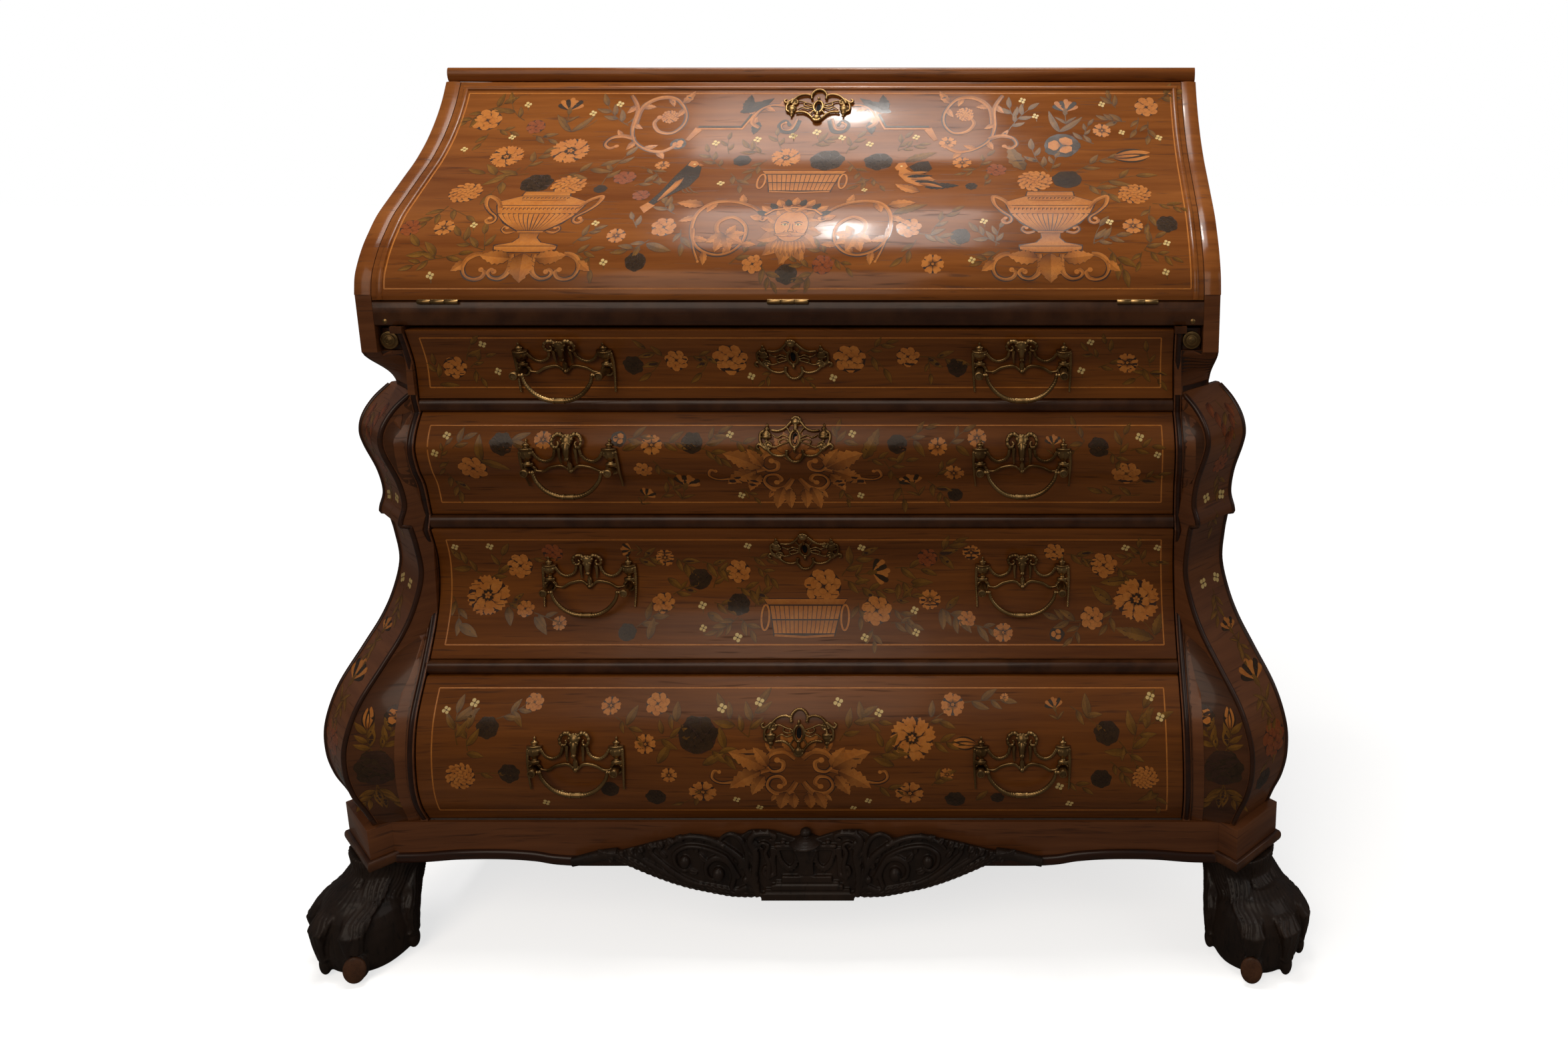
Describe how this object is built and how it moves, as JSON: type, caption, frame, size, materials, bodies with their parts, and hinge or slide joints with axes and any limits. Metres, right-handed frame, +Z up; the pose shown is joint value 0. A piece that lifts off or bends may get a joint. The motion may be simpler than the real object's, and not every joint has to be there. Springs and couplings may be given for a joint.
{
  "type": "slant-front bureau",
  "caption": "Slant-front writing bureau with a serpentine fall, swelling drawer fronts, pull-out lopers, diagonal corner scrolls, pierced brass handles and carved paw feet.",
  "frame": {"origin": "centre of the footprint on the floor, under the middle of the bounding box", "axes": "+X to the right seen from the front, +Y to the back, +Z up; the front faces -Y"},
  "size_m": [1.2366, 0.6118, 1.078],
  "materials": {
    "walnut_veneer": "polished veneer with marquetry",
    "dark_mould": "polished dark moulding",
    "dark_carving": "waxed dark carving",
    "inner_wood": "plain planed wood",
    "brass_furniture": "aged cast brass"
  },
  "bodies": {
    "case": {"side_right": "walnut_veneer", "side_left": "walnut_veneer", "top_board": "walnut_veneer", "back_board": "inner_wood", "bottom_board": "inner_wood", "front_rail": "dark_mould", "writing_bed": "walnut_veneer", "drawer_divider_1": "dark_mould", "drawer_divider_2": "dark_mould", "drawer_divider_3": "dark_mould", "corner_scroll_right": "walnut_veneer", "corner_scroll_left": "walnut_veneer", "plinth_front": "dark_mould", "plinth_side_right": "dark_mould", "plinth_side_left": "dark_mould", "apron_carving": "dark_carving", "foot_front_right": "dark_carving", "foot_front_left": "dark_carving", "foot_back_right": "dark_carving", "foot_back_left": "dark_carving", "desk_gallery": "inner_wood", "hinge_bed_leaf_1": "brass_furniture", "hinge_bed_leaf_2": "brass_furniture", "hinge_bed_leaf_3": "brass_furniture"},
    "fall": {"fall_panel": "walnut_veneer", "key_plate_fall": "brass_furniture", "hinge_fall_leaf_1": "brass_furniture", "hinge_fall_leaf_2": "brass_furniture", "hinge_fall_leaf_3": "brass_furniture"},
    "loper_r": {"loper_right": "walnut_veneer"},
    "loper_l": {"loper_left": "walnut_veneer"},
    "small_drawer": {"gallery_drawer": "inner_wood"},
    "drawer_1": {"drawer_1_front": "walnut_veneer", "drawer_1_box": "inner_wood", "handle_plate_1_left": "brass_furniture", "handle_plate_1_right": "brass_furniture", "key_plate_1": "brass_furniture"},
    "drawer_2": {"drawer_2_front": "walnut_veneer", "drawer_2_box": "inner_wood", "handle_plate_2_left": "brass_furniture", "handle_plate_2_right": "brass_furniture", "key_plate_2": "brass_furniture"},
    "drawer_3": {"drawer_3_front": "walnut_veneer", "drawer_3_box": "inner_wood", "handle_plate_3_left": "brass_furniture", "handle_plate_3_right": "brass_furniture", "key_plate_3": "brass_furniture"},
    "drawer_4": {"drawer_4_front": "walnut_veneer", "drawer_4_box": "inner_wood", "handle_plate_4_left": "brass_furniture", "handle_plate_4_right": "brass_furniture", "key_plate_4": "brass_furniture"},
    "bail_1_left": {"handle_bail_1_left": "brass_furniture"},
    "bail_1_right": {"handle_bail_1_right": "brass_furniture"},
    "bail_2_left": {"handle_bail_2_left": "brass_furniture"},
    "bail_2_right": {"handle_bail_2_right": "brass_furniture"},
    "bail_3_left": {"handle_bail_3_left": "brass_furniture"},
    "bail_3_right": {"handle_bail_3_right": "brass_furniture"},
    "bail_4_left": {"handle_bail_4_left": "brass_furniture"},
    "bail_4_right": {"handle_bail_4_right": "brass_furniture"}
  },
  "joints": [
    {"name": "fall_hinge", "type": "hinge", "parent": "case", "child": "fall", "pos_m": [0, -0.23536, 0.818], "axis": [1, 0, 0], "range_deg": [0, 141.7]},
    {"name": "loper_right_slide", "type": "slide", "parent": "case", "child": "loper_r", "axis": [0, -1, 0], "range_m": [0, 0.24]},
    {"name": "loper_left_slide", "type": "slide", "parent": "case", "child": "loper_l", "axis": [0, -1, 0], "range_m": [0, 0.24]},
    {"name": "small_drawer_slide", "type": "slide", "parent": "case", "child": "small_drawer", "axis": [0, -1, 0], "range_m": [0, 0.12]},
    {"name": "drawer_1_slide", "type": "slide", "parent": "case", "child": "drawer_1", "axis": [0, -1, 0], "range_m": [0, 0.33]},
    {"name": "drawer_2_slide", "type": "slide", "parent": "case", "child": "drawer_2", "axis": [0, -1, 0], "range_m": [0, 0.33]},
    {"name": "drawer_3_slide", "type": "slide", "parent": "case", "child": "drawer_3", "axis": [0, -1, 0], "range_m": [0, 0.33]},
    {"name": "drawer_4_slide", "type": "slide", "parent": "case", "child": "drawer_4", "axis": [0, -1, 0], "range_m": [0, 0.33]},
    {"name": "bail_1_left_swing", "type": "hinge", "parent": "drawer_1", "child": "bail_1_left", "pos_m": [-0.262, -0.24386, 0.73527], "axis": [-1, 0, 0], "range_deg": [0, 75]},
    {"name": "bail_1_right_swing", "type": "hinge", "parent": "drawer_1", "child": "bail_1_right", "pos_m": [0.262, -0.24386, 0.73527], "axis": [-1, 0, 0], "range_deg": [0, 75]},
    {"name": "bail_2_left_swing", "type": "hinge", "parent": "drawer_2", "child": "bail_2_left", "pos_m": [-0.262, -0.2404, 0.6192], "axis": [-1, 0, 0], "range_deg": [0, 75]},
    {"name": "bail_2_right_swing", "type": "hinge", "parent": "drawer_2", "child": "bail_2_right", "pos_m": [0.262, -0.2404, 0.6192], "axis": [-1, 0, 0], "range_deg": [0, 75]},
    {"name": "bail_3_left_swing", "type": "hinge", "parent": "drawer_3", "child": "bail_3_left", "pos_m": [-0.262, -0.2201, 0.46232], "axis": [-1, 0, 0], "range_deg": [0, 75]},
    {"name": "bail_3_right_swing", "type": "hinge", "parent": "drawer_3", "child": "bail_3_right", "pos_m": [0.262, -0.2201, 0.46232], "axis": [-1, 0, 0], "range_deg": [0, 75]},
    {"name": "bail_4_left_swing", "type": "hinge", "parent": "drawer_4", "child": "bail_4_left", "pos_m": [-0.262, -0.2945, 0.27052], "axis": [-1, 0, 0], "range_deg": [0, 75]},
    {"name": "bail_4_right_swing", "type": "hinge", "parent": "drawer_4", "child": "bail_4_right", "pos_m": [0.262, -0.2945, 0.27052], "axis": [-1, 0, 0], "range_deg": [0, 75]}
  ]
}
